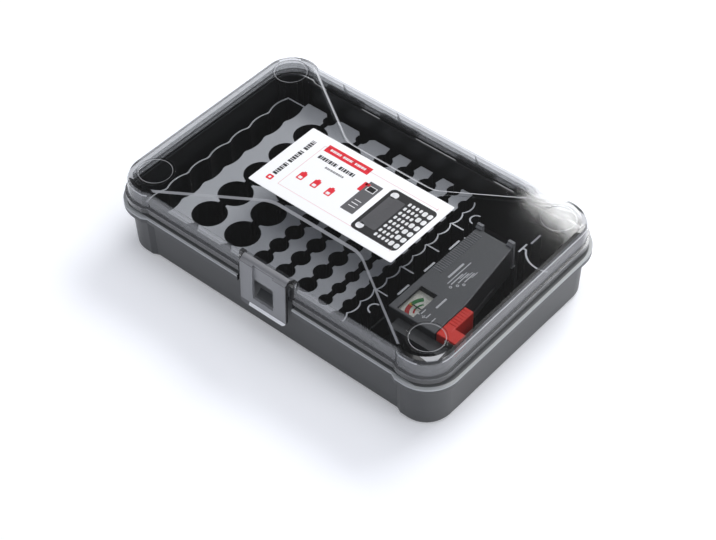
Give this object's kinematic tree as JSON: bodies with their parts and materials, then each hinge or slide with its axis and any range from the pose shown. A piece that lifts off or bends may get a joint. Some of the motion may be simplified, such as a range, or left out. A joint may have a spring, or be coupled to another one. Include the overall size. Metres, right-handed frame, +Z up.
{
  "type": "battery storage case",
  "caption": "Flat battery organiser case with a hinged clear lid, a snap latch, moulded cell seats and a slide-arm battery tester.",
  "frame": {"origin": "bottom centre of the case, on the plane it rests on", "axes": "+X along the long side with the tester at +X, -Y towards the latch, +Y towards the hinges, +Z up"},
  "size_m": [0.3012, 0.1956, 0.066],
  "materials": {
    "grey_plastic": "fine grain",
    "black_plastic": "fine grain",
    "rack_plastic": "satin",
    "smoke_clear": "clear, smoke tinted",
    "clear_window": "clear",
    "red_plastic": "satin",
    "card": "printed card",
    "dial_card": "printed",
    "steel": "plain",
    "brass": "plain",
    "component": "lacquered"
  },
  "bodies": {
    "base": {"base_tray": "grey_plastic", "latch_catch": "grey_plastic", "hinge_pins": "steel", "cell_rack": "rack_plastic", "aa_rack": "rack_plastic", "aaa_rack": "rack_plastic", "side_trough": "rack_plastic", "wavy_divider": "rack_plastic", "tester_bay": "rack_plastic", "d_cell_wall": "rack_plastic", "tester_housing": "black_plastic", "tester_cover": "black_plastic", "tester_screws": "steel", "tester_end_cap": "black_plastic", "fixed_contact": "steel", "nine_volt_contacts": "brass", "load_resistor": "component", "meter_window": "clear_window", "meter_dial": "dial_card", "meter_movement": "black_plastic"},
    "lid": {"lid": "smoke_clear", "label_card": "card", "latch_pin": "steel"},
    "latch": {"latch": "smoke_clear"},
    "arm": {"slide_arm": "red_plastic", "arm_contact": "steel"},
    "pointer": {"meter_needle": "component"}
  },
  "joints": [
    {"name": "lid_hinge", "type": "hinge", "parent": "base", "child": "lid", "pos_m": [0, 0.0945, 0.0463], "axis": [-1, 0, 0], "range_deg": [0, 110]},
    {"name": "latch_swing", "type": "hinge", "parent": "lid", "child": "latch", "pos_m": [0, -0.091, 0.0615], "axis": [-1, 0, 0], "range_deg": [0, 60]},
    {"name": "arm_slide", "type": "slide", "parent": "base", "child": "arm", "axis": [0, 1, 0], "range_m": [0, 0.05], "stiffness_N_per_m": 15, "springref_m": -0.02},
    {"name": "pointer_swing", "type": "hinge", "parent": "base", "child": "pointer", "pos_m": [0.1015, -0.044, 0.0502], "axis": [0, 0, 1], "range_deg": [-30, 30]}
  ]
}
